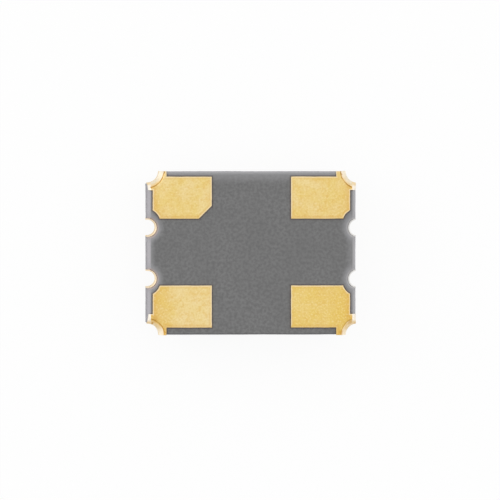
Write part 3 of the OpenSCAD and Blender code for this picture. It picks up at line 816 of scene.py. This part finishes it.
def lapped_quartz():
    """Clear crystal, a little frosted by the lapping."""
    made, tree, place = new_material("lapped_quartz")
    frost = add(tree, "TexNoise", {"Vector": place, "Scale": LUMP / 0.02, "Detail": 3.0})
    colour = add(tree, "MixRGB", (frost, "eef2f4", "fbfcfc"))
    surface(tree, frost, 0.0004, Base_Color=colour, Roughness=0.25, IOR=1.544, Transmission_Weight=1.0)
    return made


def silver_adhesive():
    """Silver flakes in a grey resin, 60 to the millimetre: dull, with bright specks."""
    made, tree, place = new_material("silver_filled_adhesive")
    flakes = add(tree, "TexVoronoi", {"Vector": place, "Scale": 60.0}).outputs["Distance"]
    colour = laid_over(tree, "c4c1bb", "8b8985", flakes, 0.2, 0.6)
    surface(tree, flakes, 0.002, Base_Color=colour, Roughness=0.5, Metallic=0.7)
    return made


silver = plated_metal("evaporated_silver", "dedcd6", "efeeea", 0.25, 0.05)
coat_node("crystal_lands", plated_metal("plated_lands", "e0b860", "efcf88", 0.4, 0.03))
coat_node("quartz_blank", lapped_quartz())
coat_node("electrode_upper", silver)
coat_node("electrode_lower", silver)
coat_node("adhesive_dots", silver_adhesive())

# ---- lid ----
# Flat Kovar lid, stamped and nickel plated, and seam welded to the ring in vacuum by two conical rollers,
# which press its edge thin and leave a row of overlapping weld spots.
LID_LOW, LID_HIGH = room("lid")
LID = LID_HIGH - LID_LOW
# Rounding of the corners, then the weld track: its width, how deep it is pressed, and how softly it ends
LID_R, WELD_W, WELD_H, WELD_FADE = 0.23, 0.09, 0.025, 0.027
# Pitch of the weld spots, and how many times deeper than the metal's grain their ripple is
WELD_SPOT, WELD_RIPPLE = 0.11, 5.0


def nickel_lid():
    """Satin nickel with faint rolling grain, and a duller track of rippled weld spots round its edge."""
    made = plated_metal("nickel_plated_kovar", "a3a099", "b2afa8", 0.33, 0.02)
    tree = made.node_tree
    shader, bump = tree.nodes["Principled BSDF"], tree.nodes["Bump"]
    here = add(tree, "TexCoord").outputs["Object"]
    place = add(tree, "VectorMath", {0: here, "Scale": 1 / MM}, operation="SCALE")
    parts = add(tree, "SeparateXYZ", {0: place})
    tracks, ripples = [], []
    for along, across, reach in (("X", "Y", LID.y / 2), ("Y", "X", LID.x / 2)):
        out = add(tree, "Math", {0: parts.outputs[across]}, operation="ABSOLUTE")
        from_edge = add(tree, "Math", (reach, out), operation="SUBTRACT")
        track = add(tree, "MapRange", (from_edge, WELD_W + WELD_FADE, WELD_W), **SOFT)
        wave = add(tree, "Math", (parts.outputs[along], 2 * math.pi / WELD_SPOT), operation="MULTIPLY")
        wave = add(tree, "Math", {0: wave}, operation="SINE")
        tracks.append(track)
        ripples.append(add(tree, "Math", (wave, track), operation="MULTIPLY"))
    track = add(tree, "Math", tracks, operation="MAXIMUM")
    spots = add(tree, "Math", ripples, operation="ADD")
    grain = bump.inputs["Height"].links[0].from_socket
    ripple = add(tree, "Math", (spots, WELD_RIPPLE), operation="MULTIPLY")
    relief = add(tree, "Math", (grain, ripple), operation="ADD")
    tree.links.new(relief.outputs[0], bump.inputs["Height"])
    plain = shader.inputs["Base Color"].links[0].from_socket
    dull = add(tree, "Math", (track, 0.6), operation="MULTIPLY")
    colour = add(tree, "MixRGB", (dull, plain, "8c877c"))
    colour = laid_over(tree, colour, "6f6a60", spots, 0.2, 1.0, 0.4)
    tree.links.new(colour.outputs[0], shader.inputs["Base Color"])
    return made


lid = rounded_box("welded_lid", (LID.x, LID.y), LID_R, WELD_H, LID_HIGH.z, segments=BEND_FACETS)
choose(lid, "FACE", faces_down)
bpy.ops.mesh.extrude_region_move(TRANSFORM_OT_translate={"value": (0, 0, LID_LOW.z - WELD_H)})
inner = ((LID.x - 2 * WELD_W) / LID.x, (LID.y - 2 * WELD_W) / LID.y, 1)
bpy.ops.transform.resize(value=inner, center_override=(0, 0, LID_LOW.z))
leave()
finish(lid, nickel_lid(), "lid_metal", "lid")

# ---- floor, light and camera ----
# White paper under even studio light: a bright horizon, a softer crown, and three soft boxes. The camera
# looks almost straight down, a little from the left and the far side.
bpy.ops.object.select_all(action="DESELECT")
bpy.ops.mesh.primitive_plane_add(size=1.0, location=(0, 0, 0))
floor = bpy.context.object
floor.name = "floor"


def white_paper():
    """Pale paper. Most of what the camera and the metal see of it is its own light, so that it stands white
    and keeps a soft shadow."""
    made, tree, place = new_material("white_paper")
    fibre = add(tree, "TexNoise", {"Vector": place, "Scale": LUMP / 0.3})
    colour = add(tree, "MixRGB", (fibre, "f2f2f2", "f4f4f4"))
    surface(tree, fibre, 0.002, Base_Color=colour, Roughness=0.9)
    rays = add(tree, "LightPath").outputs
    seen = add(tree, "Math", (rays["Is Camera Ray"], rays["Is Glossy Ray"]), operation="MAXIMUM")
    seen = add(tree, "Math", (seen, rays["Is Transmission Ray"]), operation="MAXIMUM")
    share = add(tree, "Math", (seen, 0.92), operation="MULTIPLY")
    glow = add(tree, "Emission", {"Color": "ffffff", "Strength": 1.0})
    both = add(tree, "MixShader", (share, tree.nodes["Principled BSDF"], glow))
    tree.links.new(both.outputs[0], tree.nodes["Material Output"].inputs["Surface"])
    return made


floor.data.materials.append(white_paper())

# Distance and sensor's width in millimetres, and the image's width in pixels
DISTANCE, PIXELS_PER_MM, IMAGE, SENSOR = 150, 65.6, 500, 36
TILT_LEFT, TILT_FAR = math.radians(2.3), math.radians(1.0)
# Point of the pads' face that is in the middle of the frame
TARGET = Vector((-0.0201, 0.0497, 1.0))

camera = bpy.data.objects.new("camera", bpy.data.cameras.new("camera"))
bpy.context.scene.collection.objects.link(camera)
bpy.context.scene.camera = camera
camera.data.sensor_width = SENSOR
camera.data.lens = SENSOR * DISTANCE * PIXELS_PER_MM / IMAGE
camera.data.clip_start, camera.data.clip_end = 0.01, 2.0
back = Vector((-math.sin(TILT_LEFT), math.sin(TILT_FAR), 1)).normalized()
right = Vector((0, 1, 0)).cross(back).normalized()
turn = Matrix((right, back.cross(right), back)).transposed().to_4x4()
camera.matrix_world = Matrix.Translation((TARGET + back * DISTANCE) * MM) @ turn

world = bpy.data.worlds.new("studio")
bpy.context.scene.world = world
world.use_nodes = True
sky = world.node_tree
_, far, up = add(sky, "SeparateXYZ", {0: add(sky, "TexCoord").outputs["Generated"]}).outputs
horizon = add(sky, "MapRange", (up, 0.1, 0.45, 1.0, 0.75), **SOFT)
crown = add(sky, "MapRange", (up, 0.6, 0.95, 0.0, 0.22), **SOFT)
near_dim = add(sky, "MapRange", (far, -0.3, -0.95, 1.0, 0.7), **SOFT)
glow = add(sky, "Math", (horizon, crown), operation="ADD")
glow = add(sky, "Math", (glow, near_dim), operation="MULTIPLY")
sky.nodes["Background"].inputs["Color"].default_value = (1, 1, 1, 1)
sky.links.new(glow.outputs[0], sky.nodes["Background"].inputs["Strength"])

# Each soft box: its name, its place in metres and its power in watts
SOFTBOX_SIZE = 0.08
for name, place, power in (
    ("left_softbox", (-0.10, 0.04, 0.07), 0.035),
    ("right_softbox", (0.10, 0.03, 0.07), 0.015),
    ("far_softbox", (0.0, 0.12, 0.08), 0.012),
):
    lamp = bpy.data.objects.new(name, bpy.data.lights.new(name, "AREA"))
    lamp.data.shape, lamp.data.size, lamp.data.energy = "SQUARE", SOFTBOX_SIZE, power
    lamp.location = place
    lamp.rotation_euler = (-Vector(place)).to_track_quat("-Z", "Y").to_euler()
    bpy.context.scene.collection.objects.link(lamp)

bpy.context.scene.view_settings.view_transform = "Standard"
